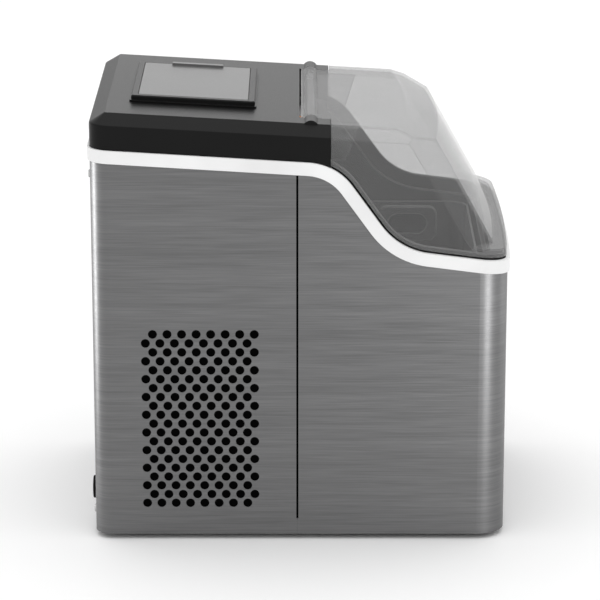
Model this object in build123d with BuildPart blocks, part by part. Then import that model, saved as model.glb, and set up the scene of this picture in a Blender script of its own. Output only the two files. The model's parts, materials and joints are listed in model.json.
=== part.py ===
"""Countertop ice maker: steel cabinet, black hood, hinged clear lid and the ice-making works.

Millimetres. The front faces -Y, +Z is up, and the origin is on the surface the feet stand on,
under the middle of the cabinet.
"""
from build123d import *
import os
from math import atan2, cos, pi, radians, sin, sqrt, tan

# ---- Cabinet: driving dimensions -----------------------------------------------------------------
body_width = 282.0
body_rear = 188.0
body_front = -188.0
front_bulge = 4.0
rear_corner = 16.0
front_corner = 26.0
foot_height = 5.0
foot_x = 108.0
foot_y = 150.0
foot_radius = 12.5
foot_neck_radius = 4.0
pan_low = foot_height
pan_thick = 2.0
pan_rim = 14.0
sheet = 1.0
fit_gap = 0.3
edge_round = 1.5

# ---- Shoulder line: the S-shaped top edge of the trim, as (Y, Z) corners -------------------------
shoulder_rear = (220.0, 367.1)
shoulder_crest = (-30.7, 351.9)
shoulder_valley = (-87.0, 273.7)
shoulder_front = (-240.0, 254.0)
crest_radius = 52.0
valley_radius = 62.0
trim_height = 11.8
trim_proud = 2.0
trim_depth = 6.0

# ---- Seam and vents ------------------------------------------------------------------------------
seam_y = 3.7
seam_slot = 1.9
seam_hairline = 0.1
seam_slot_bottom = 20.0
seam_strip_top = 341.0
vent_radius = 4.05
vent_pitch = 13.03
vent_row_pitch = 8.42
vent_rows = 20
vent_columns = 8
vent_front_y = 42.3
vent_stagger = 6.5
vent_top_z = 195.0

# ---- Hood ----------------------------------------------------------------------------------------
roof_reference_y = 1.0
roof_reference_z = 385.8
roof_tilt = 3.24
bevel_run = 14.0
bevel_drop = 9.3
hood_wall = 2.5
hood_front = -25.8
cheek_inner = 104.5
tongue_gap_y = 1.8

# ---- Lid -----------------------------------------------------------------------------------------
lid_wall = 2.5
lid_rear = -26.5
facet_break_y = -89.3
facet_toe_y = -120.0
facet_toe_z = 367.5
facet_foot_y = -176.6
facet_foot_z = 266.0
facet_bulge_radius = 1100.0
facet_sag = 5.4
facet_side_x = 108.5
bevel_top_x = 126.0
side_edge_rear = (141.0, -25.8, 374.9)
side_edge_front = (141.0, -96.3, 370.7)
side_edge_foot = (141.0, -152.6, 273.5)
lid_rim_rise = 10.0
tongue_side = 104.0
tongue_rear_y = 0.3
seal_height = 1.5
lid_gap = 2.0
lid_low = 225.0
lid_high = 400.0
rib_low = 347.0

# ---- Hinge ---------------------------------------------------------------------------------------
hinge_y = -8.3
hinge_z = 381.1
sleeve_radius = 7.2
sleeve_bore = 4.0
pin_play = 0.05

# ---- Fill cover on the hood ----------------------------------------------------------------------
flap_low_x = -72.0
flap_high_x = 66.0
flap_low_y = 48.0
flap_high_y = 147.5
bezel_height = 6.0
bezel_band = 6.0
bezel_step = 1.5
flap_thick = 3.0
flap_play = 0.5
flap_axis_x = -68.1
flap_axis_rise = 4.3
flap_pin_radius = 1.2
flap_ledge = 5.0
flap_x = (flap_low_x + flap_high_x) / 2
flap_y = (flap_low_y + flap_high_y) / 2 - roof_reference_y
flap_width = flap_high_x - flap_low_x
flap_depth = flap_high_y - flap_low_y
funnel_depth = 38.0
funnel_wall = 2.0
funnel_sump = (34.0, 26.0)
funnel_sump_shift = 6.0
fill_tube_x = -20.0
fill_tube_y = 47.0
fill_tube_radius = 6.5
fill_tube_low = 60.0

# ---- Bin, basket and freezing works --------------------------------------------------------------
liner_half = 130.0
liner_wall = 2.5
liner_front = -167.5
liner_rear = 35.5
liner_floor = 30.0
collar_rise = 4.5
collar_drop = 11.5
collar_inset = 4.2
rim_step_drop = 8.5
rim_step_width = 4.5
basket_half = 124.0
basket_front = -161.0
basket_rear = -29.0
basket_floor = 75.0
basket_top = 251.0
basket_wall = 2.0
tray_y = 1.0
tray_z = 290.0
tray_outer = 28.0
tray_wall = 2.0
tray_half = 94.0
tray_pin_radius = 4.0
finger_count = 9
finger_pitch = 19.0
finger_radius = 5.0
evaporator_z = 300.0
frame_plate_x = 100.0
frame_plate = 3.0
frame_plate_low = 272.0
bar_low = 330.0
foam_floor = 22.0
foam_half = 138.2
foam_front = -176.0
foam_corner = 24.0
grip_y = -103.0
grip_z = 229.0
grip_length = 38.0
grip_height = 19.5
grip_pad_length = 57.0
grip_pad_height = 35.0
grip_pad_inner = 119.6

# ---- Cooling works -------------------------------------------------------------------------------
fan_y = 92.5
fan_z = 119.0
fan_radius = 45.0
condenser_x = -122.0
compressor_x = 57.0
compressor_y = 112.0
compressor_radius = 52.0
compressor_low = 20.0
compressor_high = 150.0
compressor_feet = (98.0, 40.0)
condenser_low = 36.0
condenser_tall = 160.0
filter_thick = 3.0
filter_low = (37.0, 26.0)
filter_size = (113.0, 180.0)
fan_shroud_half = 54.0
fan_blades = 7
line_radius = 3.0
line_bend = 9.0
hose_radius = 4.0
hose_level = 345.0
pump_x = 117.0
pump_y = 52.0

# ---- Rear wall -----------------------------------------------------------------------------------
drain_x = -99.0
drain_z = 36.0
drain_hole_radius = 9.5
drain_start_x = -60.0
drain_start_z = 40.0
spout_bore = 6.0
cap_inner = 188.7
cap_thick = 3.0
cap_radius = 10.5
inlet_x = 92.0
inlet_z = 48.0
inlet_width = 27.0
inlet_tall = 20.0
screw_radius = 1.9
screw_head_radius = 3.6
screw_head_height = 1.7
shell_screw_places = ((-118, 22), (118, 22), (-118, 338), (118, 338))
hood_screw_places = ((-100, 377), (100, 377))

# ---- Front panel ---------------------------------------------------------------------------------
panel_half = 64.0
panel_low = 178.0
panel_high = 222.0
button_radius = 7.0
button_spacing = 36.0
button_z = 192.0
button_travel = 0.8
lens_z = 211.0
lens_length = 70.0
lens_height = 8.0
panel_recess = 1.0
panel_thick = 2.5
board_front = -180.5
board_thick = 1.6
panel_screw_places = ((-57, 184), (57, 184), (-57, 216), (57, 216))

wide = 400.0


# ---- Shared shapes -------------------------------------------------------------------------------
def roof_z(y):
    """Height of the hood's roof plane at y."""
    return roof_reference_z + (y - roof_reference_y) * tan(radians(roof_tilt))


def front_y(x, inset=0.0):
    """Y of the bowed front face at x."""
    bow_radius = ((body_width / 2) ** 2 + front_bulge ** 2) / (2 * front_bulge)
    return body_front + inset + bow_radius - sqrt(bow_radius ** 2 - x ** 2)


def cabinet_outline(inset):
    """The cabinet seen from above, drawn in by inset: round corners and a bowed front."""
    half = body_width / 2 - inset
    rear = body_rear - inset
    corner_y = body_front + front_bulge + inset
    with BuildSketch() as outline:
        with BuildLine():
            Polyline((half, corner_y), (half, rear), (-half, rear), (-half, corner_y))
            ThreePointArc((-half, corner_y), (0, body_front + inset), (half, corner_y))
        make_face()
        fillet(outline.vertices().group_by(Axis.Y)[-1], rear_corner - inset)
        fillet(outline.vertices().group_by(Axis.Y)[0], front_corner - inset)
    return outline.sketch


def cabinet_block(inset, low=-20.0, high=460.0):
    """A solid of the cabinet outline between two heights."""
    with BuildPart() as block:
        with BuildSketch(Plane.XY.offset(low)):
            add(cabinet_outline(inset))
        extrude(amount=high - low)
    return block.part


def cabinet_ring(outer_inset, inner_inset, low=-20.0, high=460.0):
    """A tall ring that follows the cabinet outline."""
    inner = cabinet_block(inner_inset, low - 5, high + 5)
    with BuildPart() as ring:
        with BuildSketch(Plane.XY.offset(low)):
            add(cabinet_outline(outer_inset))
        extrude(amount=high - low)
        add(inner, mode=Mode.SUBTRACT)
    return ring.part


def moved_corner(before, corner, after, rise):
    """A corner of a (Y, Z) polyline after both of its sides move square to themselves by rise."""
    first = atan2(corner[1] - before[1], corner[0] - before[0])
    second = atan2(after[1] - corner[1], after[0] - corner[0])
    middle = (first + second) / 2 - pi / 2
    reach = rise / cos((second - first) / 2)
    return (corner[0] + reach * cos(middle), corner[1] + reach * sin(middle))


def moved_end(end, near, rise):
    """The end of a (Y, Z) polyline that runs towards -Y, moved square to its side by rise."""
    slope = atan2(near[1] - end[1], near[0] - end[0])
    side = slope - pi / 2
    return (end[0] + rise * cos(side), end[1] + rise * sin(side))


def under_shoulder(rise):
    """Everything under the shoulder line, with the line moved square to itself by rise."""
    crest = moved_corner(shoulder_rear, shoulder_crest, shoulder_valley, rise)
    valley = moved_corner(shoulder_crest, shoulder_valley, shoulder_front, rise)
    rear = moved_end(shoulder_rear, shoulder_crest, rise)
    slope = atan2(shoulder_valley[1] - shoulder_front[1], shoulder_valley[0] - shoulder_front[0])
    front = (shoulder_front[0] - rise * sin(slope), shoulder_front[1] + rise * cos(slope))
    with BuildPart() as region:
        with BuildSketch(Plane.YZ) as profile:
            with BuildLine():
                Polyline(rear, crest, valley, front, (front[0], -40.0), (rear[0], -40.0), close=True)
            make_face()
            fillet(profile.vertices().sort_by_distance(crest)[0], crest_radius + rise)
            fillet(profile.vertices().sort_by_distance(valley)[0], valley_radius - rise)
        extrude(amount=wide / 2, both=True)
    return region.part


def tube(points, bends, radius, bore=0.0):
    """A round tube or rod along straight runs joined by arcs."""
    with BuildPart() as pipe:
        with BuildLine() as path:
            FilletPolyline(*points, radius=bends)
        route = path.wires()[0]
        with BuildSketch(Plane(origin=route @ 0, z_dir=route % 0)):
            Circle(radius)
            if bore > 0:
                Circle(bore, mode=Mode.SUBTRACT)
        sweep(path=route)
    return pipe.part


def save(part, name):
    """Label a finished piece and write its STEP file."""
    part.label = name
    export_step(part, f"parts/{name}.step")


under_trim = under_shoulder(-trim_height)
under_top = under_shoulder(0.0)
roof_plane = Plane(origin=(0, roof_reference_y, roof_reference_z), x_dir=(1, 0, 0),
                   z_dir=(0, -sin(radians(roof_tilt)), cos(radians(roof_tilt))))


# ---- Steel shells --------------------------------------------------------------------------------
def vent_places():
    """Centres (Y, Z) of the staggered vent holes."""
    places = []
    for row in range(vent_rows):
        start = vent_front_y + (vent_stagger if row % 2 else 0.0)
        for column in range(vent_columns):
            places.append((start + column * vent_pitch, vent_top_z - row * vent_row_pitch))
    return places


def make_rear_shell():
    ring = cabinet_ring(0.0, sheet)
    with BuildPart() as rear_shell:
        add(ring)
        add(under_trim, mode=Mode.INTERSECT)
        with Locations((0, seam_y + seam_hairline / 2 + wide / 2, foot_height + wide / 2)):
            Box(wide, wide, wide, mode=Mode.INTERSECT)
        with Locations((0, seam_y, seam_slot_bottom + wide / 2)):
            Box(wide, seam_slot, wide, mode=Mode.SUBTRACT)
        with BuildSketch(Plane.YZ):
            with Locations(vent_places()):
                Circle(vent_radius)
        extrude(amount=wide / 2, both=True, mode=Mode.SUBTRACT)
        with BuildSketch(Plane.XZ):
            with Locations((drain_x, drain_z)):
                Circle(drain_hole_radius)
            with Locations((inlet_x, inlet_z)):
                Rectangle(inlet_width + 0.6, inlet_tall + 0.6)
            with Locations(shell_screw_places):
                Circle(screw_radius)
        extrude(amount=-wide / 2, mode=Mode.SUBTRACT)
    save(rear_shell.part, "rear_shell")


def make_front_shell():
    ring = cabinet_ring(0.0, sheet)
    with BuildPart() as front_shell:
        add(ring)
        add(under_trim, mode=Mode.INTERSECT)
        with Locations((0, seam_y - seam_hairline / 2 - wide / 2, foot_height + wide / 2)):
            Box(wide, wide, wide, mode=Mode.INTERSECT)
        with Locations((0, seam_y, seam_slot_bottom + wide / 2)):
            Box(wide, seam_slot, wide, mode=Mode.SUBTRACT)
        with Locations((0, body_front, (panel_low + panel_high) / 2)):
            Box(2 * panel_half + 0.4, 30, panel_high - panel_low + 0.4, mode=Mode.SUBTRACT)
    save(front_shell.part, "front_shell")


def make_seam_strips():
    """Two black joint strips behind the seam, one on each side."""
    length = seam_strip_top - seam_slot_bottom
    with BuildPart() as seam_strips:
        for side in (-1, 1):
            with Locations((side * (body_width / 2 - sheet - 0.6), seam_y, seam_slot_bottom + length / 2)):
                Box(1.2, 16, length)
    save(seam_strips.part, "seam_strips")


def make_trim_band():
    ring = cabinet_ring(-trim_proud, trim_depth - trim_proud)
    with BuildPart() as trim_band:
        add(ring)
        add(under_top, mode=Mode.INTERSECT)
        add(under_trim, mode=Mode.SUBTRACT)
    save(trim_band.part, "trim_band")


# ---- Base ----------------------------------------------------------------------------------------
def make_base_pan():
    floor_plate = cabinet_block(sheet, pan_low, pan_low + pan_thick)
    rim = cabinet_ring(sheet, sheet + 1.5, pan_low, pan_low + pan_rim)
    with BuildPart() as base_pan:
        add(floor_plate)
        add(rim)
        with Locations(Plane.XY.offset(pan_low)):
            with GridLocations(2 * foot_x, 2 * foot_y, 2, 2):
                Hole(foot_neck_radius, depth=60)
    save(base_pan.part, "base_pan")


def make_rubber_feet():
    with BuildPart() as rubber_feet:
        with GridLocations(2 * foot_x, 2 * foot_y, 2, 2):
            Cone(foot_radius - 1.5, foot_radius, foot_height, align=(Align.CENTER, Align.CENTER, Align.MIN))
            Cylinder(foot_neck_radius, pan_low + pan_thick, align=(Align.CENTER, Align.CENTER, Align.MIN))
        with BuildSketch(Plane.XY.offset(pan_low + pan_thick)):
            with GridLocations(2 * foot_x, 2 * foot_y, 2, 2):
                Circle(6.5)
        extrude(amount=2.5)
    save(rubber_feet.part, "rubber_feet")


# ---- Hood ----------------------------------------------------------------------------------------
def hood_volume(inset):
    """The hood as a full block under its sloped roof, with bevelled sides and rear."""
    run = bevel_run - 0.69 * inset
    drop = bevel_drop - 0.464 * inset
    block_low = 200.0
    with BuildPart() as block:
        with BuildSketch(Plane.XY.offset(block_low)):
            add(cabinet_outline(inset))
        extrude(amount=300)
        split(bisect_by=roof_plane.offset(-inset), keep=Keep.BOTTOM)
        roof = block.faces().sort_by(Axis.Z)[-1]
        rims = roof.edges().filter_by(lambda edge: edge.center().Y > -100)
        chamfer(rims, length=run, length2=drop, reference=roof)
    return block.part


def on_bevel(edge):
    """Whether an edge of the hood block bounds its bevel, above or below."""
    middle = edge.center()
    below_roof = roof_z(middle.Y) - middle.Z
    return middle.Y > -100 and below_roof < bevel_drop + 1.0


def make_top_hood():
    outer = hood_volume(0.0)
    inner = hood_volume(hood_wall)
    cavity_front = tongue_gap_y + hood_wall
    with BuildPart() as inner_rear:
        add(inner)
        with Locations((0, cavity_front + wide / 2, wide / 2 + 200)):
            Box(wide, wide, wide, mode=Mode.INTERSECT)
    with BuildPart() as cheek_cavity:
        add(inner)
        with Locations((0, (hood_front + hood_wall + cavity_front) / 2, wide / 2 + 200)):
            Box(wide, cavity_front - hood_front - hood_wall + 0.2, wide, mode=Mode.INTERSECT)
        with Locations((0, 0, wide / 2 + 200)):
            Box(2 * (cheek_inner + hood_wall), wide, wide, mode=Mode.SUBTRACT)
    with BuildPart() as ridge:
        with Locations((0, hinge_y, hinge_z)):
            Cylinder(sleeve_radius, 2 * (body_width / 2 - bevel_run + 1), rotation=(0, 90, 0))
        with Locations((0, 0, hinge_z)):
            Box(2 * cheek_inner, wide, wide, mode=Mode.SUBTRACT)
    with BuildPart() as collar_room:
        add(cabinet_block(collar_inset - fit_gap))
        add(under_shoulder(collar_rise + fit_gap), mode=Mode.INTERSECT)
    with BuildPart() as top_hood:
        add(outer)
        bevel_edges = top_hood.edges().filter_by(on_bevel)
        fillet(bevel_edges, edge_round)
        with Locations((0, hood_front + wide / 2, 400)):
            Box(wide, wide, 300, mode=Mode.INTERSECT)
        add(inner_rear.part, mode=Mode.SUBTRACT)
        add(cheek_cavity.part, mode=Mode.SUBTRACT)
        with Locations((0, tongue_gap_y - wide / 2, 400)):
            Box(2 * cheek_inner, wide, 300, mode=Mode.SUBTRACT)
        with Locations((0, cavity_front, roof_z(0) - 12 - 100)):
            Box(2 * cheek_inner, 3 * hood_wall, 200, mode=Mode.SUBTRACT)
        add(ridge.part)
        with Locations((0, hinge_y, hinge_z)):
            Cylinder(sleeve_bore, 2 * (cheek_inner + 9), rotation=(0, 90, 0), mode=Mode.SUBTRACT)
        with BuildSketch(roof_plane.offset(-20)):
            with Locations((flap_x, flap_y)):
                Rectangle(flap_width - 2 * flap_ledge, flap_depth - 2 * flap_ledge)
        extrude(amount=40, mode=Mode.SUBTRACT)
        with BuildSketch(Plane.XZ.offset(-body_rear + 6)):
            with Locations(hood_screw_places):
                Circle(screw_radius)
        extrude(amount=-20, mode=Mode.SUBTRACT)
        add(under_top, mode=Mode.SUBTRACT)
        add(collar_room.part, mode=Mode.SUBTRACT)
    save(top_hood.part, "top_hood")


# ---- Fill cover and funnel -----------------------------------------------------------------------
flap_axis = Plane(origin=roof_plane.from_local_coords((flap_axis_x, flap_y, flap_axis_rise)),
                  x_dir=(1, 0, 0), z_dir=roof_plane.y_dir)


def make_fill_bezel():
    """Raised frame round the fill flap, with a low step round it and a ledge for the flap."""
    with BuildPart() as fill_bezel:
        with BuildSketch(roof_plane):
            with Locations((flap_x, flap_y)):
                RectangleRounded(flap_width + 2 * bezel_band + 3, flap_depth + 2 * bezel_band + 3, 4.5)
        extrude(amount=bezel_step)
        with BuildSketch(roof_plane.offset(bezel_step)):
            with Locations((flap_x, flap_y)):
                RectangleRounded(flap_width + 2 * bezel_band, flap_depth + 2 * bezel_band, 3)
        extrude(amount=bezel_height - bezel_step)
        top_edges = fill_bezel.faces().sort_by_distance(
            roof_plane.from_local_coords((flap_x, flap_y, bezel_height)))[0].edges()
        chamfer(top_edges, 1.0)
        with BuildSketch(roof_plane.offset(-1)):
            with Locations((flap_x, flap_y)):
                Rectangle(flap_width, flap_depth)
        extrude(amount=20, mode=Mode.SUBTRACT)
        with BuildSketch(roof_plane):
            with Locations((flap_x, flap_y)):
                Rectangle(flap_width, flap_depth)
            with Locations((flap_x - flap_ledge, flap_y)):
                Rectangle(flap_width, flap_depth - 2 * flap_ledge, mode=Mode.SUBTRACT)
            with Locations((flap_low_x, flap_y)):
                Rectangle(2 * 12, flap_depth, mode=Mode.SUBTRACT)
        extrude(amount=bezel_height - flap_thick - fit_gap)
        with BuildSketch(flap_axis.offset(-wide / 2)):
            Circle(flap_pin_radius + pin_play)
        extrude(amount=wide, mode=Mode.SUBTRACT)
    save(fill_bezel.part, "fill_bezel")


def make_fill_cover():
    """The flap with its finger tab and the two pivot stubs at its hinged edge."""
    reach = flap_depth / 2 - flap_play
    with BuildPart() as fill_cover:
        with BuildSketch(roof_plane.offset(bezel_height - flap_thick)):
            with Locations(((flap_low_x + 0.8 + flap_high_x - flap_play) / 2, flap_y)):
                RectangleRounded(flap_width - 0.8 - flap_play, 2 * reach, 1.5)
        extrude(amount=flap_thick)
        with BuildSketch(roof_plane.offset(bezel_height)):
            with Locations((flap_high_x - 3.6, flap_y)):
                RectangleRounded(6, 48, 2)
        extrude(amount=2.2)
        with BuildSketch(flap_axis.offset(-reach - 3.5)):
            Circle(flap_pin_radius)
        extrude(amount=2 * reach + 7)
    save(fill_cover.part, "fill_cover")


def make_fill_funnel():
    """Sloped tray under the flap that leads the water to its outlet."""
    outer = roof_plane.offset(-hood_wall)
    sump_place = (fill_tube_x, fill_tube_y + funnel_sump_shift - roof_reference_y)
    with BuildPart() as fill_funnel:
        with BuildSketch(outer):
            with Locations((flap_x, flap_y)):
                Rectangle(flap_width, flap_depth)
        extrude(amount=-2)
        with BuildSketch(outer):
            with Locations((flap_x, flap_y)):
                Rectangle(flap_width - 2 * flap_ledge + 4, flap_depth - 2 * flap_ledge + 4)
        with BuildSketch(outer.offset(-funnel_depth)):
            with Locations(sump_place):
                Rectangle(*funnel_sump)
        loft()
        with BuildSketch(outer.offset(1)):
            with Locations((flap_x, flap_y)):
                Rectangle(flap_width - 2 * flap_ledge, flap_depth - 2 * flap_ledge)
        with BuildSketch(outer.offset(-funnel_depth + funnel_wall)):
            with Locations(sump_place):
                Rectangle(funnel_sump[0] - 2 * funnel_wall, funnel_sump[1] - 2 * funnel_wall)
        loft(mode=Mode.SUBTRACT)
        with Locations((fill_tube_x, fill_tube_y, roof_z(fill_tube_y) - funnel_depth)):
            Cylinder(6.0, 30, mode=Mode.SUBTRACT)
    save(fill_funnel.part, "fill_funnel")


def make_fill_tube():
    top = roof_z(fill_tube_y) - hood_wall - funnel_depth - 1.0
    points = ((fill_tube_x, fill_tube_y, top), (fill_tube_x, fill_tube_y, fill_tube_low),
              (fill_tube_x, 31, fill_tube_low))
    save(tube(points, 9, fill_tube_radius, fill_tube_radius - 1.5), "fill_tube")


# ---- Bin -----------------------------------------------------------------------------------------
def make_bin_liner():
    collar_region = under_shoulder(collar_rise)
    collar_below = under_shoulder(-collar_drop)
    collar_ring = cabinet_block(collar_inset)
    middle_y = (liner_front + liner_rear) / 2
    length = liner_rear - liner_front
    inner_height = 460.0 - liner_floor - liner_wall
    step_floor = under_shoulder(-rim_step_drop)
    with BuildPart() as rim_step:
        with BuildSketch(Plane.XY.offset(liner_floor)):
            with Locations((0, middle_y)):
                RectangleRounded(2 * (liner_half - liner_wall + rim_step_width),
                                 length - 2 * liner_wall + 2 * rim_step_width, 16)
        extrude(amount=inner_height)
        add(step_floor, mode=Mode.SUBTRACT)
        with Locations((0, lid_rear - wide / 2, 300)):
            Box(wide, wide, wide, mode=Mode.INTERSECT)
    with BuildPart() as collar:
        add(collar_ring)
        add(collar_region, mode=Mode.INTERSECT)
        add(collar_below, mode=Mode.SUBTRACT)
        with Locations((0, 30 - wide / 2, 300)):
            Box(wide, wide, wide, mode=Mode.INTERSECT)
    with BuildPart() as tub:
        with Locations((0, middle_y, liner_floor)):
            Box(2 * liner_half, length, 430, align=(Align.CENTER, Align.CENTER, Align.MIN))
        fillet(tub.edges().filter_by(Axis.Z), 14)
        add(collar_region, mode=Mode.INTERSECT)
    with BuildPart() as bin_liner:
        add(tub.part)
        add(collar.part)
        with BuildSketch(Plane.XY.offset(liner_floor + liner_wall)):
            with Locations((0, middle_y)):
                RectangleRounded(2 * (liner_half - liner_wall), length - 2 * liner_wall, 11.5)
        extrude(amount=inner_height, mode=Mode.SUBTRACT)
        add(rim_step.part, mode=Mode.SUBTRACT)
        with Locations((0, 30 + wide / 2, 330 + wide / 2)):
            Box(wide, wide, wide, mode=Mode.SUBTRACT)
        with Locations((0, (basket_front + basket_rear) / 2, liner_floor + liner_wall)):
            with GridLocations(200, 100, 2, 2):
                Cylinder(6, basket_floor - liner_floor - liner_wall,
                         align=(Align.CENTER, Align.CENTER, Align.MIN))
        with Locations((fill_tube_x, liner_rear, fill_tube_low)):
            Cylinder(fill_tube_radius, 20, rotation=(90, 0, 0), mode=Mode.SUBTRACT)
        with Locations((drain_start_x, liner_rear, drain_start_z)):
            Cylinder(5.0, 20, rotation=(90, 0, 0), mode=Mode.SUBTRACT)
    save(bin_liner.part, "bin_liner")


def make_bin_insulation():
    """Foam tub round the liner, open at the rear."""
    top = under_shoulder(-trim_height - 0.4)
    front = foam_front
    with BuildPart() as bin_insulation:
        with Locations((0, (front + liner_rear) / 2, foam_floor)):
            Box(2 * foam_half, liner_rear - front, 400, align=(Align.CENTER, Align.CENTER, Align.MIN))
        fillet(bin_insulation.edges().filter_by(Axis.Z).group_by(Axis.Y)[0], foam_corner)
        add(top, mode=Mode.INTERSECT)
        with Locations((0, (liner_front + liner_rear) / 2 + 10, liner_floor)):
            Box(2 * liner_half + 0.4, liner_rear - liner_front + 20.4, 400,
                align=(Align.CENTER, Align.CENTER, Align.MIN), mode=Mode.SUBTRACT)
    save(bin_insulation.part, "bin_insulation")


def make_bin_rails():
    """Two rails on the base pan that carry the foam tub and the liner."""
    low = pan_low + pan_thick
    with BuildPart() as bin_rails:
        for x in (-62, 62):
            with Locations((x, -70, low)):
                Box(18, 180, foam_floor - low, align=(Align.CENTER, Align.CENTER, Align.MIN))
            with Locations((x, -70, low)):
                Box(12, 174, foam_floor - low - 3, align=(Align.CENTER, Align.CENTER, Align.MIN),
                    mode=Mode.SUBTRACT)
    save(bin_rails.part, "bin_rails")


def make_lid_seal():
    ring = cabinet_ring(1.5, 3.9)
    top = under_shoulder(seal_height)
    with BuildPart() as lid_seal:
        add(ring)
        add(top, mode=Mode.INTERSECT)
        add(under_top, mode=Mode.SUBTRACT)
        with Locations((0, lid_rear - wide / 2, 300)):
            Box(wide, wide, wide, mode=Mode.INTERSECT)
    save(lid_seal.part, "lid_seal")


def on_pad_rim(edge):
    """Whether an edge lies on the raised face of a grip pad."""
    return abs(abs(edge.center().X) - grip_pad_inner) < 0.01


def make_ice_basket():
    middle_y = (basket_front + basket_rear) / 2
    length = basket_rear - basket_front
    pad_thick = 3.0
    with BuildPart() as ice_basket:
        with BuildSketch(Plane.XY.offset(basket_floor)):
            with Locations((0, middle_y)):
                RectangleRounded(2 * basket_half - 8, length - 8, 16)
        with BuildSketch(Plane.XY.offset(basket_top)):
            with Locations((0, middle_y)):
                RectangleRounded(2 * basket_half, length, 20)
        loft()
        with BuildSketch(Plane.XY.offset(basket_floor + basket_wall)):
            with Locations((0, middle_y)):
                RectangleRounded(2 * basket_half - 8 - 2 * basket_wall, length - 8 - 2 * basket_wall, 14)
        with BuildSketch(Plane.XY.offset(basket_top)):
            with Locations((0, middle_y)):
                RectangleRounded(2 * basket_half - 2 * basket_wall, length - 2 * basket_wall, 18)
        loft(mode=Mode.SUBTRACT)
        for side in (-1, 1):
            with BuildSketch(Plane.YZ.offset(side * grip_pad_inner)):
                with Locations((grip_y, grip_z)):
                    RectangleRounded(grip_pad_length, grip_pad_height, 9)
            extrude(amount=side * pad_thick)
        pad_rims = ice_basket.edges().filter_by(on_pad_rim)
        chamfer(pad_rims, 1.2)
        with BuildSketch(Plane.YZ):
            with Locations((grip_y, grip_z)):
                SlotOverall(grip_length, grip_height)
        extrude(amount=wide / 2, both=True, mode=Mode.SUBTRACT)
        with BuildSketch(Plane.XY.offset(basket_floor - 5)):
            with Locations((0, middle_y)):
                with GridLocations(26, 26, 8, 4):
                    Circle(4)
        extrude(amount=20, mode=Mode.SUBTRACT)
    save(ice_basket.part, "ice_basket")


# ---- Freezing works ------------------------------------------------------------------------------
def make_evaporator_frame():
    """Black frame in the top rear of the bin that carries the evaporator and the tilting tray."""
    with BuildPart() as evaporator_frame:
        with Locations((0, -7, bar_low)):
            Box(2 * (liner_half - liner_wall), 26, 6, align=(Align.CENTER, Align.CENTER, Align.MIN))
        for side in (-1, 1):
            with Locations((side * (frame_plate_x + frame_plate / 2), 0, frame_plate_low)):
                Box(frame_plate, 40, bar_low - frame_plate_low, align=(Align.CENTER, Align.CENTER, Align.MIN))
        with Locations((0, tray_y, tray_z)):
            Cylinder(tray_pin_radius + pin_play, wide, rotation=(0, 90, 0), mode=Mode.SUBTRACT)
        for x in (-70, 70):
            with Locations((x, -6, bar_low)):
                Cylinder(3.5, 30, mode=Mode.SUBTRACT)
        with Locations((80, 2, bar_low)):
            Cylinder(4.5, 30, mode=Mode.SUBTRACT)
    save(evaporator_frame.part, "evaporator_frame")


def make_evaporator():
    """Plated tube block with a row of freezing fingers, hung from the frame by a plate."""
    with BuildPart() as evaporator:
        with Locations((0, tray_y, evaporator_z)):
            Box(2 * 84, 16, 10)
        fillet(evaporator.edges().filter_by(Axis.X), 3)
        with BuildSketch(Plane.XY.offset(evaporator_z - 4)):
            with Locations((0, tray_y)):
                with GridLocations(finger_pitch, 1, finger_count, 1):
                    Circle(finger_radius)
        extrude(amount=-27)
        fillet(evaporator.faces().filter_by(Axis.Z).group_by(Axis.Z)[0].edges(), 3)
        with Locations((0, -9, evaporator_z)):
            Box(60, 4, bar_low - evaporator_z, align=(Align.CENTER, Align.CENTER, Align.MIN))
    save(evaporator.part, "evaporator")


def make_water_tray():
    """Half-round trough that turns about its own middle line, with its two pivot stubs."""
    with BuildPart() as water_tray:
        with BuildSketch(Plane.YZ.offset(-tray_half)):
            with Locations((tray_y, tray_z)):
                Circle(tray_outer)
            with Locations((tray_y, tray_z + 50)):
                Rectangle(120, 100, mode=Mode.SUBTRACT)
        extrude(amount=2 * tray_half)
        with BuildSketch(Plane.YZ.offset(-tray_half + tray_wall)):
            with Locations((tray_y, tray_z)):
                Circle(tray_outer - tray_wall)
        extrude(amount=2 * (tray_half - tray_wall), mode=Mode.SUBTRACT)
        for side in (-1, 1):
            with Locations((side * (tray_half - tray_wall / 2), tray_y, tray_z)):
                Cylinder(6.5, tray_wall, rotation=(0, 90, 0))
        with Locations((tray_half + 5, tray_y, tray_z)):
            Cylinder(tray_pin_radius, 10.5, rotation=(0, 90, 0))
        with Locations((-tray_half - 9, tray_y, tray_z)):
            Cylinder(tray_pin_radius, 18.5, rotation=(0, 90, 0))
    save(water_tray.part, "water_tray")


def make_tray_motor():
    with BuildPart() as tray_motor:
        with Locations((-115.4, tray_y, tray_z)):
            Box(18, 34, 34)
        fillet(tray_motor.edges().filter_by(Axis.X), 4)
        with Locations((-104.7, tray_y, tray_z)):
            Cylinder(8, 3.4, rotation=(0, 90, 0))
        with Locations((-106, tray_y, tray_z)):
            Cylinder(tray_pin_radius + pin_play, 14, rotation=(0, 90, 0), mode=Mode.SUBTRACT)
    save(tray_motor.part, "tray_motor")


def make_ice_sensor():
    with BuildPart() as ice_sensor:
        for side in (-1, 1):
            with Locations((side * (frame_plate_x + frame_plate + 4), -14, 263)):
                Box(8, 10, 14)
            with Locations((side * (frame_plate_x + frame_plate / 2 + 1), -14, 271)):
                Box(frame_plate + 6, 10, 2)
    save(ice_sensor.part, "ice_sensor")


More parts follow.
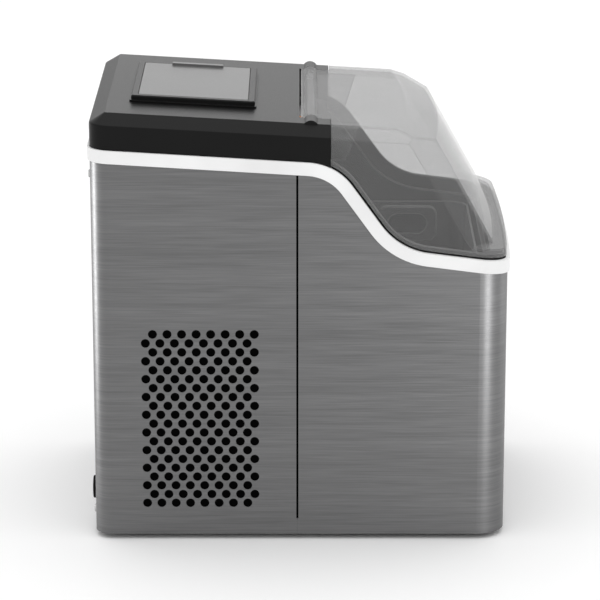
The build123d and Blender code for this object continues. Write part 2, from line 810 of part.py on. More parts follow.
# ---- Cooling works -------------------------------------------------------------------------------
def make_condenser():
    """Finned block: plates on a serpentine of copper tubes behind the vents."""
    low_z = condenser_low
    tall = condenser_tall
    with BuildPart() as condenser:
        with Locations((condenser_x, fan_y, low_z)):
            with GridLocations(1, 5, 1, 21):
                Box(22, 0.8, tall, align=(Align.CENTER, Align.CENTER, Align.MIN))
        with BuildSketch(Plane.XZ.offset(-fan_y - 52)):
            with Locations((condenser_x, low_z + tall / 2)):
                with GridLocations(11, 22, 2, 7):
                    Circle(3.5)
        extrude(amount=104)
        for side in (-1, 1):
            with Locations((condenser_x, fan_y + side * 52.8, low_z)):
                Box(24, 1.6, tall, align=(Align.CENTER, Align.CENTER, Align.MIN))
    save(condenser.part, "condenser")


def make_dust_filter():
    """Black foam sheet on the inside of the steel, behind the vents on the intake side."""
    with BuildPart() as dust_filter:
        with Locations((-body_width / 2 + sheet, filter_low[0], filter_low[1])):
            Box(filter_thick, *filter_size, align=(Align.MIN, Align.MIN, Align.MIN))
    save(dust_filter.part, "dust_filter")


def make_fan_shroud():
    half = fan_shroud_half
    with BuildPart() as fan_shroud:
        with Locations((-96, fan_y, fan_z)):
            Box(22, 2 * half, 2 * half)
        with Locations((-97, fan_y, fan_z)):
            Box(22, 2 * half - 6, 2 * half - 6, mode=Mode.SUBTRACT)
        with Locations((-86, fan_y, fan_z)):
            Cylinder(fan_radius + 3, 30, rotation=(0, 90, 0), mode=Mode.SUBTRACT)
        with Locations((-83, fan_y, fan_z)):
            Box(4, 2 * half, 8)
            Box(4, 8, 2 * half)
        with Locations((-83, fan_y, fan_z)):
            Cylinder(4.2, 30, rotation=(0, 90, 0), mode=Mode.SUBTRACT)
    save(fan_shroud.part, "fan_shroud")


def make_fan_motor():
    with BuildPart() as fan_motor:
        with Locations((-68, fan_y, fan_z)):
            Cylinder(21, 26, rotation=(0, 90, 0))
        fillet(fan_motor.edges().sort_by(Axis.X)[-1], 3)
        with Locations((-75, fan_y, fan_z)):
            Cylinder(2.0 + pin_play, 20, rotation=(0, 90, 0), mode=Mode.SUBTRACT)
    save(fan_motor.part, "fan_motor")


def make_fan_rotor():
    blades = fan_blades
    with BuildPart() as fan_rotor:
        with Locations((-95, fan_y, fan_z)):
            Cylinder(15, 13, rotation=(0, 90, 0))
        for index in range(blades):
            angle = index * 360 / blades
            with Locations(Location((-95, fan_y, fan_z), (angle, 0, 0))):
                with Locations(Location((0, 0, 29), (0, 0, 35))):
                    Box(13, 1.6, 31)
        with Locations((-83, fan_y, fan_z)):
            Cylinder(2.0, 24, rotation=(0, 90, 0))
    save(fan_rotor.part, "fan_rotor")


def make_compressor():
    """Welded steel can with domed ends, terminal cover and a mounting plate."""
    low = compressor_low
    high = compressor_high
    radius = compressor_radius
    with BuildPart() as compressor:
        with Locations((compressor_x, compressor_y, low)):
            Cylinder(radius, high - low, align=(Align.CENTER, Align.CENTER, Align.MIN))
        fillet(compressor.edges().group_by(Axis.Z)[0], 20)
        fillet(compressor.edges().group_by(Axis.Z)[-1], 36)
        with Locations((compressor_x, compressor_y, 70)):
            Cylinder(radius + 1.2, 5)
        with Locations((compressor_x, compressor_y + radius, 96)):
            Box(34, 16, 36)
        with BuildSketch(Plane.XY.offset(low - 2)):
            with Locations((compressor_x, compressor_y)):
                RectangleRounded(118, 60, 10)
                with GridLocations(*compressor_feet, 2, 2):
                    Circle(4, mode=Mode.SUBTRACT)
        extrude(amount=3)
        with Locations((compressor_x - 20, compressor_y, high - 18)):
            Cylinder(4.5, 30, align=(Align.CENTER, Align.CENTER, Align.MIN))
        with Locations((compressor_x + 26, compressor_y, high - 18)):
            Cylinder(4.5, 30, align=(Align.CENTER, Align.CENTER, Align.MIN))
    save(compressor.part, "compressor")


def make_compressor_grommets():
    low = pan_low + pan_thick
    with BuildPart() as compressor_grommets:
        with Locations((compressor_x, compressor_y, low)):
            with GridLocations(*compressor_feet, 2, 2):
                Cylinder(8, 18 - low, align=(Align.CENTER, Align.CENTER, Align.MIN))
                Cylinder(3.9, 24 - low, align=(Align.CENTER, Align.CENTER, Align.MIN))
        with Locations((compressor_x, compressor_y, 21)):
            with GridLocations(*compressor_feet, 2, 2):
                Cylinder(6.5, 3, align=(Align.CENTER, Align.CENTER, Align.MIN))
    save(compressor_grommets.part, "compressor_grommets")


# ---- Lid and hinge -------------------------------------------------------------------------------
facet_foot = (facet_foot_y - facet_sag, facet_foot_z)
facet_toe = (facet_toe_y - facet_sag, facet_toe_z)
facet_break = (facet_break_y - facet_sag, roof_z(facet_break_y - facet_sag))


def plane_through(first, second, third):
    """The plane through three points, with its normal towards +X."""
    a = Vector(*first)
    along = Vector(*second) - a
    normal = along.cross(Vector(*third) - a).normalized()
    if normal.X < 0:
        normal = normal * -1
    return Plane(origin=a, x_dir=along, z_dir=normal)


def mirrored(plane):
    """The same plane on the other side of the middle."""
    spot = plane.origin
    way = plane.z_dir
    return Plane(origin=(-spot.X, spot.Y, spot.Z), z_dir=(-way.X, way.Y, way.Z))


def lid_block(inset, rounded=False):
    """The lid's faceted form as a full block, drawn in square to its faces by inset."""
    low = lid_low
    high = lid_high
    slope = (facet_foot[1] - facet_toe[1]) / (facet_foot[0] - facet_toe[0])
    under_foot = (facet_foot[0] + (low - facet_foot[1]) / slope, low)
    toe = moved_corner(facet_break, facet_toe, under_foot, -inset)
    break_slope = (facet_toe[1] - facet_break[1]) / (facet_toe[0] - facet_break[0])
    top_y = toe[0] + (high - toe[1]) / break_slope
    foot_y = toe[0] + (low - toe[1]) / slope
    bevel = plane_through(side_edge_rear, side_edge_front, (bevel_top_x, -50, roof_z(-50)))
    corner = plane_through(side_edge_front, side_edge_foot, (facet_side_x, facet_toe_y, facet_toe_z))
    with BuildPart() as block:
        with BuildSketch(Plane.YZ):
            with BuildLine():
                Polyline((60, low), (60, high), (top_y, high), toe, (foot_y, low), close=True)
            make_face()
        revolve(axis=Axis((0, facet_foot[0] + facet_bulge_radius, 0), (0, 0, 1)))
        with Locations((0, -100, 320)):
            Box(2 * (body_width / 2 - inset), 300, 300, mode=Mode.INTERSECT)
        split(bisect_by=roof_plane.offset(-inset), keep=Keep.BOTTOM)
        for cut in (bevel, corner):
            split(bisect_by=cut.offset(-inset), keep=Keep.BOTTOM)
            split(bisect_by=mirrored(cut.offset(-inset)), keep=Keep.BOTTOM)
        if rounded:
            ridges = block.edges().filter_by(lambda edge: edge.center().Z > 262 and edge.center().Y < 48)
            fillet(ridges, edge_round)
    return block.part


def make_lid():
    outer = lid_block(0.0, rounded=True)
    inner = lid_block(lid_wall)
    under_gap = under_shoulder(lid_gap)
    rim_top = under_shoulder(lid_rim_rise)
    rim_hollow_top = under_shoulder(lid_rim_rise - lid_wall)
    rim_block = cabinet_block(1.0)
    rim_hollow_block = cabinet_block(1.0 + lid_wall)
    rim_rear = -100.0
    rib_corners = ((-24, roof_z(-24) - 1), (-52, roof_z(-52) - 1), (-41, rib_low), (-24, rib_low))
    with BuildPart() as rim:
        add(rim_block)
        add(rim_top, mode=Mode.INTERSECT)
        with Locations((0, rim_rear - wide / 2, 300)):
            Box(wide, wide, wide, mode=Mode.INTERSECT)
    with BuildPart() as rim_hollow:
        add(rim_hollow_block)
        add(rim_hollow_top, mode=Mode.INTERSECT)
        with Locations((0, rim_rear + 1 - wide / 2, 300)):
            Box(wide, wide, wide, mode=Mode.INTERSECT)
    with BuildPart() as lid:
        add(outer)
        add(rim.part)
        add(inner, mode=Mode.SUBTRACT)
        add(rim_hollow.part, mode=Mode.SUBTRACT)
        add(under_gap, mode=Mode.SUBTRACT)
        with Locations((0, lid_rear - wide / 2, 300)):
            Box(wide, wide, wide, mode=Mode.INTERSECT)
        with BuildSketch(roof_plane):
            with Locations((0, (tongue_rear_y + lid_rear - 3) / 2 - roof_reference_y)):
                Rectangle(2 * tongue_side, tongue_rear_y - lid_rear + 3)
        extrude(amount=-lid_wall)
        with Locations((0, hinge_y, hinge_z)):
            Cylinder(sleeve_radius, 2 * tongue_side, rotation=(0, 90, 0))
        for rib_start in (-tongue_side, tongue_side - lid_wall):
            with BuildSketch(Plane.YZ.offset(rib_start)):
                with BuildLine():
                    Polyline(*rib_corners, close=True)
                make_face()
            extrude(amount=lid_wall)
        with Locations((0, hinge_y, hinge_z)):
            Cylinder(sleeve_bore + pin_play, 2 * tongue_side + 4, rotation=(0, 90, 0), mode=Mode.SUBTRACT)
    save(lid.part, "lid")


def make_hinge_pins():
    length = 19.0
    with BuildPart() as hinge_pins:
        for side in (-1, 1):
            with Locations((side * (cheek_inner + 9 - length / 2), hinge_y, hinge_z)):
                Cylinder(sleeve_bore, length, rotation=(0, 90, 0))
    save(hinge_pins.part, "hinge_pins")


# ---- Water and refrigerant -----------------------------------------------------------------------
def make_water_pump():
    low = pan_low + pan_thick
    with BuildPart() as water_pump:
        with Locations((pump_x, pump_y, low)):
            Box(28, 26, 30, align=(Align.CENTER, Align.CENTER, Align.MIN))
        fillet(water_pump.edges().filter_by(Axis.Z), 6)
        with Locations((pump_x, pump_y, low + 30)):
            Cylinder(10, 6, align=(Align.CENTER, Align.CENTER, Align.MIN))
        with Locations((pump_x, pump_y, low + 36)):
            Cylinder(4, 5, align=(Align.CENTER, Align.CENTER, Align.MIN))
    save(water_pump.part, "water_pump")


def make_water_hose():
    start = pan_low + pan_thick + 41
    points = ((pump_x, pump_y, start), (pump_x, pump_y, hose_level), (pump_x, 2, hose_level),
              (80, 2, hose_level), (80, 2, bar_low - 1))
    save(tube(points, 8, hose_radius, hose_radius - 1.5), "water_hose")


def make_refrigerant_lines():
    """Suction, liquid and discharge lines, each bent from one copper tube."""
    suction = tube(((-70, -6, 305), (-70, -6, hose_level), (-70, 43, hose_level), (-70, 43, 230),
                    (-70, 75, 230), (83, 75, 230), (83, compressor_y, 230), (83, compressor_y, 162)),
                   line_bend, line_radius)
    liquid = tube(((70, -6, 305), (70, -6, hose_level), (70, 43, hose_level), (70, 43, 262),
                   (70, 165, 262), (-60, 165, 262), (-60, 165, 215)), line_bend, line_radius)
    feed = tube(((-60, 165, 160), (-60, 165, 140), (-116.5, 165, 140), (-116.5, 165, 182),
                 (-116.5, 146.2, 182)), 7, line_radius)
    discharge = tube(((37, compressor_y, 162), (37, compressor_y, 245), (37, 179, 245), (-127.5, 179, 245),
                      (-127.5, 179, 50), (-127.5, 146.2, 50)), line_bend, line_radius)
    with BuildPart() as refrigerant_lines:
        for line in (suction, liquid, feed, discharge):
            add(line)
    save(refrigerant_lines.part, "refrigerant_lines")


def make_filter_drier():
    with BuildPart() as filter_drier:
        with Locations((-60, 165, 160)):
            Cylinder(9, 55, align=(Align.CENTER, Align.CENTER, Align.MIN))
        chamfer(filter_drier.edges(), 4)
    save(filter_drier.part, "filter_drier")


def make_drain_hose():
    points = ((drain_start_x, liner_rear, drain_start_z), (drain_start_x, 118, drain_start_z),
              (drain_x, 150, drain_z), (drain_x, 168, drain_z))
    save(tube(points, 12, 7.0, 5.0), "drain_hose")


def make_drain_spout():
    with BuildPart() as drain_spout:
        with BuildSketch(Plane.XZ.offset(-168)):
            with Locations((drain_x, drain_z)):
                Circle(8.0)
        extrude(amount=-20.4)
        with BuildSketch(Plane.XZ.offset(-184.5)):
            with Locations((drain_x, drain_z)):
                Circle(12.5)
        extrude(amount=-2.5)
        with BuildSketch(Plane.XZ.offset(-160)):
            with Locations((drain_x, drain_z)):
                Circle(spout_bore)
        extrude(amount=-40, mode=Mode.SUBTRACT)
    save(drain_spout.part, "drain_spout")


def make_drain_cap():
    with BuildPart() as drain_cap:
        with BuildSketch(Plane.XZ.offset(-cap_inner)):
            with Locations((drain_x, drain_z)):
                Circle(cap_radius)
        extrude(amount=-cap_thick)
        fillet(drain_cap.edges().sort_by(Axis.Y)[-1], 1.2)
        with BuildSketch(Plane.XZ.offset(-cap_inner)):
            with Locations((drain_x, drain_z)):
                Circle(spout_bore - pin_play)
        extrude(amount=9)
    save(drain_cap.part, "drain_cap")


def make_power_inlet():
    rear = 187.8
    with BuildPart() as power_inlet:
        with Locations((inlet_x, rear - 13, inlet_z)):
            Box(inlet_width, 26, inlet_tall)
        with Locations((inlet_x, rear, inlet_z)):
            Box(inlet_width - 6, 34, inlet_tall - 6, mode=Mode.SUBTRACT)
        with Locations((inlet_x, rear - 17, inlet_z)):
            with Locations((-6, 0, -2), (0, 0, 2), (6, 0, -2)):
                Box(2, 14, 4.5)
    save(power_inlet.part, "power_inlet")


# ---- Front panel ---------------------------------------------------------------------------------
def make_control_panel():
    ring = cabinet_ring(panel_recess, panel_recess + panel_thick)
    with BuildPart() as control_panel:
        add(ring)
        with Locations((0, body_front, (panel_low + panel_high) / 2)):
            Box(2 * panel_half, 40, panel_high - panel_low, mode=Mode.INTERSECT)
        with BuildSketch(Plane.XZ.offset(-board_front)):
            with Locations(panel_screw_places):
                Circle(3.4)
        extrude(amount=5)
        with BuildSketch(Plane.XZ.offset(-board_front)):
            with Locations(panel_screw_places):
                Circle(1.5)
        extrude(amount=3.5, mode=Mode.SUBTRACT)
        with BuildSketch(Plane.XZ.offset(-board_front)):
            with Locations((0, button_z)):
                with GridLocations(button_spacing, 1, 3, 1):
                    Circle(button_radius + fit_gap)
            with Locations((0, lens_z)):
                SlotOverall(lens_length, lens_height)
        extrude(amount=20, mode=Mode.SUBTRACT)
    save(control_panel.part, "control_panel")


def make_status_lens():
    ring = cabinet_ring(panel_recess - 0.1, panel_recess + panel_thick)
    with BuildPart() as status_lens:
        add(ring)
        with BuildSketch(Plane.XZ.offset(160)):
            with Locations((0, lens_z)):
                SlotOverall(lens_length - 0.2, lens_height - 0.2)
        extrude(amount=40, mode=Mode.INTERSECT)
    save(status_lens.part, "status_lens")


def make_button(name, x):
    """A round button with a retaining flange behind the panel."""
    face = front_y(x, 0.2)
    flange = front_y(x, panel_recess + panel_thick) + fit_gap
    with BuildPart() as button:
        with BuildSketch(Plane.XZ.offset(-flange)):
            with Locations((x, button_z)):
                Circle(button_radius)
        extrude(amount=flange - face)
        fillet(button.edges().sort_by(Axis.Y)[0], 0.6)
        with BuildSketch(Plane.XZ.offset(-flange)):
            with Locations((x, button_z)):
                Circle(button_radius + 1.6)
        extrude(amount=-1.0)
    save(button.part, name)


def make_control_board():
    with BuildPart() as control_board:
        with Locations((0, board_front + board_thick / 2, 200)):
            Box(122, board_thick, 38)
        for place in (-1, 0, 1):
            x = place * button_spacing
            top = front_y(x, panel_recess + panel_thick) + fit_gap + 1.0 + button_travel + 0.3
            with BuildSketch(Plane.XZ.offset(-board_front)):
                with Locations((x, button_z)):
                    Circle(2.0)
            extrude(amount=board_front - top)
        with Locations((0, board_front - 0.8, lens_z)):
            Box(60, 1.6, 4)
        with Locations((-25, board_front + board_thick + 0.7, 200)):
            Box(14, 1.4, 14)
        with Locations((22, board_front + board_thick + 0.7, 198)):
            Box(24, 1.4, 10)
        with BuildSketch(Plane.XZ.offset(-board_front + 5)):
            with Locations(panel_screw_places):
                Circle(1.6)
        extrude(amount=-20, mode=Mode.SUBTRACT)
    save(control_board.part, "control_board")


def make_panel_screws():
    back = board_front + board_thick
    with BuildPart() as panel_screws:
        with BuildSketch(Plane.XZ.offset(-back)):
            with Locations(panel_screw_places):
                Circle(1.5)
        extrude(amount=board_thick + 3.2)
        with BuildSketch(Plane.XZ.offset(-back)):
            with Locations(panel_screw_places):
                Circle(2.8)
        extrude(amount=-1.6)
    save(panel_screws.part, "panel_screws")


def make_wall_screws(name, places):
    """Pan-head screws through the rear wall, each with a cross slot."""
    with BuildPart() as screws:
        with BuildSketch(Plane.XZ.offset(-body_rear)):
            with Locations(places):
                Circle(screw_head_radius)
        extrude(amount=-screw_head_height)
        chamfer(screws.edges().group_by(Axis.Y)[-1], 0.6)
        with BuildSketch(Plane.XZ.offset(-body_rear)):
            with Locations(places):
                Circle(screw_radius)
        extrude(amount=8)
        with BuildSketch(Plane.XZ.offset(-body_rear - 0.9)):
            with Locations(places):
                Rectangle(3.6, 0.8)
                Rectangle(0.8, 3.6)
        extrude(amount=-4, mode=Mode.SUBTRACT)
    save(screws.part, name)


os.makedirs("parts", exist_ok=True)
make_rear_shell()
make_front_shell()
make_seam_strips()
make_trim_band()
make_base_pan()
make_rubber_feet()
make_top_hood()
make_fill_bezel()
make_fill_cover()
make_fill_funnel()
make_fill_tube()
make_bin_liner()
make_bin_insulation()
make_bin_rails()
make_lid_seal()
make_ice_basket()
make_evaporator_frame()
make_evaporator()
make_water_tray()
make_tray_motor()
make_ice_sensor()
make_condenser()
make_dust_filter()
make_fan_shroud()
make_fan_motor()
make_fan_rotor()
make_compressor()
make_compressor_grommets()
make_lid()
make_hinge_pins()
make_water_pump()
make_water_hose()
make_refrigerant_lines()
make_filter_drier()
make_drain_hose()
make_drain_spout()
make_drain_cap()
make_power_inlet()
make_control_panel()
make_status_lens()
make_button("power_button", -button_spacing)
make_button("size_button", 0.0)
make_button("clean_button", button_spacing)
make_control_board()
make_panel_screws()
make_wall_screws("shell_screws", shell_screw_places)
make_wall_screws("hood_screws", hood_screw_places)
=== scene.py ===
"""Looks for a countertop ice maker: brushed steel cabinet, black hood, white trim and smoke-clear lid."""
import json
import math

import bpy
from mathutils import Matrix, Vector

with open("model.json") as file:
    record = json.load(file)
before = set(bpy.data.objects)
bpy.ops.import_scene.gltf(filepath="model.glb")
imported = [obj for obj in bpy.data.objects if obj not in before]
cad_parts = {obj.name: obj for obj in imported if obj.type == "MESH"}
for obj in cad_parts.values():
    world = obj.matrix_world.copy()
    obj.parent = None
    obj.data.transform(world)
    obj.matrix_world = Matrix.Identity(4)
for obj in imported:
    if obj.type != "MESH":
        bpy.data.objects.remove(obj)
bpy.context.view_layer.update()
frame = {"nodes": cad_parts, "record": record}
nodes = frame["nodes"]
MM = 0.001
EVEN = (1.0, 1.0, 1.0)  # noise scale along X, Y and Z, with no stretch
SOFT_EDGE_SAMPLES = 4
EDGE_MASK_SAMPLES = 6
# The Mix node repeats its socket names for each data type, so its colour sockets are found by number.
MIX_FACTOR, MIX_FIRST, MIX_SECOND, MIX_RESULT = 0, 6, 7, 2

FLOOR_SIZE = 60.0
SKY_STRENGTH = 1.03
SENSOR_WIDTH = 36.0
FOCAL_LENGTH = 188.48
CAMERA_PLACE = (-2.8358, 0.0013, 1.0078)
CAMERA_PITCH = math.radians(16.156)


# ---- Node helpers ----------------------------------------------------------------------------
def new_material(name):
    """An empty node material with its Principled shader."""
    material = bpy.data.materials.new(name)
    material.use_nodes = True
    tree = material.node_tree
    shader = tree.nodes["Principled BSDF"]
    return material, tree, shader


def add_node(tree, kind, **settings):
    """A node with its properties or sockets set by name."""
    node = tree.nodes.new(kind)
    for key, value in settings.items():
        if key in node.inputs:
            node.inputs[key].default_value = value
        else:
            setattr(node, key, value)
    return node


def object_place(tree):
    """The object's own coordinates."""
    return add_node(tree, "ShaderNodeTexCoord").outputs["Object"]


def object_noise(tree, stretch, scale, detail=3.0, roughness=0.5):
    """Noise in the object's own coordinates, squeezed by stretch along X, Y and Z."""
    place = object_place(tree)
    mapping = add_node(tree, "ShaderNodeMapping")
    mapping.inputs["Scale"].default_value = stretch
    noise = add_node(tree, "ShaderNodeTexNoise")
    noise.inputs["Scale"].default_value = scale
    noise.inputs["Detail"].default_value = detail
    noise.inputs["Roughness"].default_value = roughness
    tree.links.new(place, mapping.inputs["Vector"])
    tree.links.new(mapping.outputs["Vector"], noise.inputs["Vector"])
    return noise.outputs["Fac"]


def ramp(tree, value, stops):
    """A colour ramp on value; stops are (position, grey or colour)."""
    node = add_node(tree, "ShaderNodeValToRGB")
    elements = node.color_ramp.elements
    while len(elements) < len(stops):
        elements.new(0.5)
    for element, (position, colour) in zip(elements, stops):
        element.position = position
        element.color = colour if isinstance(colour, tuple) else (colour, colour, colour, 1.0)
    tree.links.new(value, node.inputs["Fac"])
    return node.outputs["Color"]


def blend_values(tree, first, second, how="MULTIPLY", amount=1.0):
    """Mixes two colour outputs."""
    node = add_node(tree, "ShaderNodeMix", data_type="RGBA", blend_type=how)
    node.inputs[MIX_FACTOR].default_value = amount
    tree.links.new(first, node.inputs[MIX_FIRST])
    tree.links.new(second, node.inputs[MIX_SECOND])
    return node.outputs[MIX_RESULT]


def bump(tree, shader, height, strength, distance, under=None):
    """Bump from a height output, over another normal if one is given."""
    node = add_node(tree, "ShaderNodeBump")
    node.inputs["Strength"].default_value = strength
    node.inputs["Distance"].default_value = distance
    tree.links.new(height, node.inputs["Height"])
    if under is not None:
        tree.links.new(under, node.inputs["Normal"])
    tree.links.new(node.outputs["Normal"], shader.inputs["Normal"])


def soft_edge(tree, radius):
    """A normal that rounds sharp edges by radius."""
    node = add_node(tree, "ShaderNodeBevel")
    node.samples = SOFT_EDGE_SAMPLES
    node.inputs["Radius"].default_value = radius
    return node.outputs["Normal"]


def edge_mask(tree, radius):
    """Bright along sharp edges, within about radius of them, and black on open faces."""
    rounded = add_node(tree, "ShaderNodeBevel")
    rounded.samples = EDGE_MASK_SAMPLES
    rounded.inputs["Radius"].default_value = radius
    flat = add_node(tree, "ShaderNodeNewGeometry")
    likeness = add_node(tree, "ShaderNodeVectorMath", operation="DOT_PRODUCT")
    tree.links.new(rounded.outputs["Normal"], likeness.inputs[0])
    tree.links.new(flat.outputs["Normal"], likeness.inputs[1])
    return ramp(tree, likeness.outputs["Value"], [(0.90, 1.0), (0.998, 0.0)])


# ---- Materials -------------------------------------------------------------------------------
def brushed_steel():
    """Steel brushed along the horizontal: fine long scratches, broader soft streaks and a faint grain."""
    material, tree, shader = new_material("brushed_steel")
    fine = object_noise(tree, (14.0, 14.0, 900.0), 1.0, 2.0, 0.6)
    broad = object_noise(tree, (4.0, 4.0, 170.0), 1.0, 3.0, 0.6)
    hair = object_noise(tree, (30.0, 30.0, 2600.0), 1.0, 1.0, 0.5)
    fine_tone = ramp(tree, fine, [(0.30, 0.80), (0.70, 1.0)])
    broad_tone = ramp(tree, broad, [(0.30, 0.84), (0.72, 1.0)])
    hair_tone = ramp(tree, hair, [(0.25, 0.86), (0.75, 1.0)])
    tone = blend_values(tree, fine_tone, broad_tone)
    tone = blend_values(tree, tone, hair_tone)
    base = add_node(tree, "ShaderNodeRGB")
    base.outputs[0].default_value = (0.205, 0.205, 0.207, 1.0)
    tree.links.new(blend_values(tree, base.outputs[0], tone), shader.inputs["Base Color"])
    rough = ramp(tree, fine, [(0.2, 0.36), (0.8, 0.50)])
    tree.links.new(rough, shader.inputs["Roughness"])
    shader.inputs["Metallic"].default_value = 1.0
    bump(tree, shader, fine, 0.16, 0.0003)
    return material


def moulded(name, grey, roughness, grain=1500.0, depth=0.08, gloss=0.5, edge_highlight=1.0):
    """Moulded plastic: fine grain, slight tone drift and softened edges, with a painted highlight that
    lightens the colour along them unless its factor is 1.
    """
    material, tree, shader = new_material(name)
    drift = object_noise(tree, EVEN, 14.0, 2.0)
    tone = ramp(tree, drift, [(0.3, grey * 0.93), (0.7, grey * 1.05)])
    # Painted highlight: the colour is lightened along sharp edges, as if top light caught them.
    if edge_highlight != 1.0:
        edges = edge_mask(tree, 1.6 * MM)
        tone = blend_values(tree, tone, ramp(tree, edges, [(0.0, 1.0), (1.0, edge_highlight)]))
    tree.links.new(tone, shader.inputs["Base Color"])
    grains = object_noise(tree, EVEN, grain, 2.0, 0.6)
    rough = ramp(tree, grains, [(0.3, roughness * 0.9), (0.7, min(1.0, roughness * 1.12))])
    tree.links.new(rough, shader.inputs["Roughness"])
    shader.inputs["Specular IOR Level"].default_value = gloss
    bump(tree, shader, grains, depth, 0.0002, soft_edge(tree, 0.8 * MM))
    return material


def metal(name, colour, roughness):
    """Plain metal with a fine worn grain."""
    material, tree, shader = new_material(name)
    grain = object_noise(tree, EVEN, 400.0, 3.0, 0.6)
    dark = tuple(c * 0.8 for c in colour) + (1.0,)
    light = tuple(min(1.0, c * 1.08) for c in colour) + (1.0,)
    tree.links.new(ramp(tree, grain, [(0.3, dark), (0.7, light)]), shader.inputs["Base Color"])
    rough = ramp(tree, grain, [(0.3, roughness * 0.8), (0.7, roughness * 1.2)])
    tree.links.new(rough, shader.inputs["Roughness"])
    shader.inputs["Metallic"].default_value = 1.0
    bump(tree, shader, grain, 0.05, 0.0002)
    return material


def smoke_clear():
    """Smoke-grey clear plastic: see-through when looked at squarely, greyer at edges and low angles."""
    material, tree, shader = new_material("smoke_clear")
    haze = object_noise(tree, EVEN, 9.0, 2.0)
    tone = ramp(tree, haze, [(0.3, 0.20), (0.7, 0.23)])
    tree.links.new(tone, shader.inputs["Base Color"])
    facing = add_node(tree, "ShaderNodeLayerWeight")
    facing.inputs["Blend"].default_value = 0.5
    cover = ramp(tree, facing.outputs["Facing"], [(0.0, 0.22), (0.55, 0.27), (1.0, 0.62)])
    edges = edge_mask(tree, 1.3 * MM)
    tree.links.new(blend_values(tree, cover, edges, "SCREEN", 0.55), shader.inputs["Alpha"])
    scuffs = object_noise(tree, EVEN, 240.0, 4.0, 0.7)
    tree.links.new(ramp(tree, scuffs, [(0.3, 0.05), (0.7, 0.12)]), shader.inputs["Roughness"])
    shader.inputs["IOR"].default_value = 1.49
    bump(tree, shader, haze, 0.02, 0.0005, soft_edge(tree, 1.0 * MM))
    material.surface_render_method = "BLENDED"
    return material


def foam():
    """Pale closed-cell insulation foam."""
    material, tree, shader = new_material("foam")
    cells = add_node(tree, "ShaderNodeTexVoronoi")
    cells.inputs["Scale"].default_value = 500.0
    tree.links.new(object_place(tree), cells.inputs["Vector"])
    tone = ramp(tree, cells.outputs["Distance"], [(0.0, 0.55), (0.6, 0.75)])
    tree.links.new(tone, shader.inputs["Base Color"])
    shader.inputs["Roughness"].default_value = 0.9
    bump(tree, shader, cells.outputs["Distance"], 0.4, 0.0005)
    return material


def circuit_board():
    """Green board with a grid of dull gold tracks."""
    material, tree, shader = new_material("circuit_board")
    cells = add_node(tree, "ShaderNodeTexBrick")
    cells.inputs["Scale"].default_value = 160.0
    cells.inputs["Color1"].default_value = (0.02, 0.16, 0.06, 1)
    cells.inputs["Color2"].default_value = (0.015, 0.12, 0.05, 1)
    cells.inputs["Mortar"].default_value = (0.30, 0.24, 0.08, 1)
    cells.inputs["Mortar Size"].default_value = 0.01
    tree.links.new(object_place(tree), cells.inputs["Vector"])
    tree.links.new(cells.outputs["Color"], shader.inputs["Base Color"])
    shader.inputs["Roughness"].default_value = 0.35
    return material


materials = {
    "brushed_steel": brushed_steel(),
    "white_plastic": moulded("white_plastic", 0.84, 0.45, depth=0.03, gloss=0.3),
    "black_plastic": moulded("black_plastic", 0.005, 0.38, depth=0.06, gloss=0.13),
    "grey_plastic": moulded("grey_plastic", 0.11, 0.40, depth=0.05),
    # The liner's colour is lightened along its edges by a painted highlight (factor 2.4).
    "liner_plastic": moulded("liner_plastic", 0.12, 0.42, depth=0.04, edge_highlight=2.4),
    "foam": foam(),
    "black_rubber": moulded("black_rubber", 0.006, 0.8, grain=700.0, depth=0.15, gloss=0.15),
    "nickel": metal("nickel", (0.72, 0.70, 0.66), 0.22),
    # Painted shade: the condenser fins are near-black so that the vent holes read as dark as the shade
    # behind them.
    "aluminium_fins": moulded("aluminium_fins", 0.008, 0.6, grain=300.0, gloss=0.1),
    "motor_steel": metal("motor_steel", (0.35, 0.35, 0.36), 0.4),
    "black_paint": moulded("black_paint", 0.012, 0.35, grain=500.0, depth=0.05),
    "smoke_clear": smoke_clear(),
    "pin_steel": metal("pin_steel", (0.55, 0.55, 0.55), 0.28),
    "clear_tube": moulded("clear_tube", 0.6, 0.3, depth=0.02),
    "copper": metal("copper", (0.80, 0.42, 0.26), 0.3),
    "gloss_black": moulded("gloss_black", 0.004, 0.16, depth=0.01, gloss=0.12),
    "dark_lens": moulded("dark_lens", 0.015, 0.08, depth=0.01, gloss=0.35),
    "button_grey": moulded("button_grey", 0.35, 0.35, depth=0.03),
    "board_green": circuit_board(),
}

# Nodes whose look differs from the material of their slot in the record.
own_looks = {
    "dust_filter": moulded("filter_foam", 0.0015, 0.98, grain=900.0, depth=0.2, gloss=0.01),
    "seam_strips": moulded("seam_black", 0.0015, 0.95, grain=900.0, gloss=0.01),
    # The basket, like the liner, gets a painted highlight along its edges (factor 2.4).
    "ice_basket": moulded("basket_plastic", 0.15, 0.42, depth=0.04, edge_highlight=2.4),
}


def dress_cad_nodes():
    """Each CAD node takes the material of its slot in the record, or its own variant of it."""
    for subpart in frame["record"]["subparts"]:
        name = subpart["node"]
        obj = nodes[name]
        obj.data.materials.clear()
        obj.data.materials.append(own_looks.get(name, materials[subpart["material_slot"]]))


dress_cad_nodes()


# ---- Stage, light and camera -----------------------------------------------------------------
def make_stage():
    """A plain pale floor that runs to a pale horizon."""
    bpy.ops.mesh.primitive_plane_add(size=FLOOR_SIZE, location=(0, 0, 0))
    floor = bpy.context.object
    floor.name = "floor"
    material, tree, shader = new_material("floor_white")
    shader.inputs["Base Color"].default_value = (0.97, 0.97, 0.97, 1)
    shader.inputs["Roughness"].default_value = 0.9
    shader.inputs["Specular IOR Level"].default_value = 0.0
    floor.data.materials.append(material)


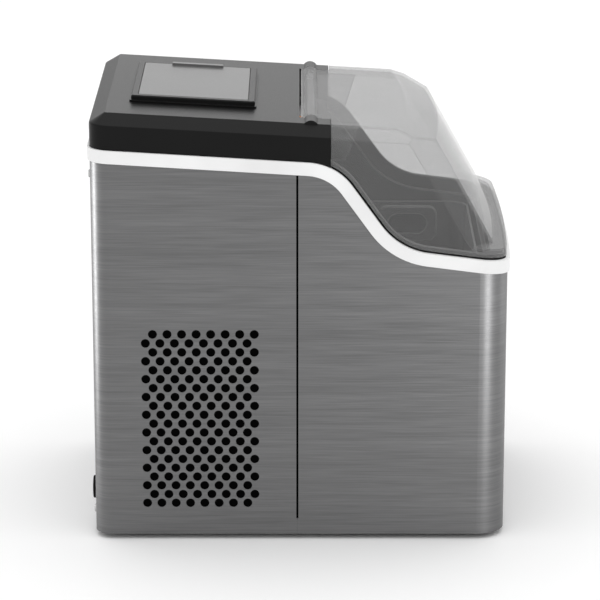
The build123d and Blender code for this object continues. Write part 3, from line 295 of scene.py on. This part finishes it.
def area_light(name, place, target, size, watts, receivers=None):
    """A rectangular light, unseen by the camera, that lights only the receivers if any are given."""
    light = bpy.data.lights.new(name, "AREA")
    light.shape = "RECTANGLE"
    light.size, light.size_y = size
    light.energy = watts
    obj = bpy.data.objects.new(name, light)
    obj.location = place
    obj.rotation_euler = (Vector(target) - Vector(place)).to_track_quat("-Z", "Y").to_euler()
    obj.visible_camera = False
    bpy.context.scene.collection.objects.link(obj)
    if receivers:
        obj.light_linking.receiver_collection = receivers


def node_group(name, members):
    """A collection of CAD nodes that one light is kept to."""
    group = bpy.data.collections.new(name)
    for member in members:
        group.objects.link(nodes[member])
    return group


def make_light():
    """A white sky, a softbox overhead and cards kept to the steel and the hood."""
    world = bpy.data.worlds.new("studio")
    world.use_nodes = True
    sky = world.node_tree.nodes["Background"]
    sky.inputs["Color"].default_value = (1, 1, 1, 1)
    sky.inputs["Strength"].default_value = SKY_STRENGTH
    bpy.context.scene.world = world
    steel = node_group("steel_shells", ("rear_shell", "front_shell"))
    hood = node_group("hood_pieces", ("top_hood", "fill_bezel", "fill_cover"))
    # Name, place, target, size, watts and receivers. The rear corner card stays behind the plane
    # of the near side, which it would otherwise wash out to white in views from the front.
    for card in (
        ("top_softbox", (0.1, 0.1, 2.4), (0, 0, 0.2), (1.8, 1.8), 9, None),
        ("far_card", (2.2, 0.0, 0.95), (0, 0, 0.38), (1.4, 0.5), 2.6, hood),
        ("front_corner_card", (-0.55, -0.46, 0.20), (-0.13, -0.16, 0.20), (0.10, 0.40), 1.9, steel),
        ("front_card", (0.10, -0.85, 0.25), (0.0, -0.19, 0.2), (0.30, 0.5), 0.8, steel),
        ("rear_corner_card", (-0.05, 0.70, 0.20), (-0.13, 0.18, 0.20), (0.14, 0.40), 2.8, steel),
    ):
        area_light(*card)
    bpy.context.scene.view_settings.view_transform = "Standard"


def make_camera():
    """Side view from a little above, square to the cabinet's long side."""
    data = bpy.data.cameras.new("camera")
    data.sensor_width = SENSOR_WIDTH
    data.lens = FOCAL_LENGTH
    data.clip_end = 100.0
    camera = bpy.data.objects.new("camera", data)
    camera.location = CAMERA_PLACE
    aim = Vector((math.cos(CAMERA_PITCH), 0.0, -math.sin(CAMERA_PITCH)))
    camera.rotation_euler = aim.to_track_quat("-Z", "Y").to_euler()
    bpy.context.scene.collection.objects.link(camera)
    bpy.context.scene.camera = camera


make_stage()
make_light()
make_camera()
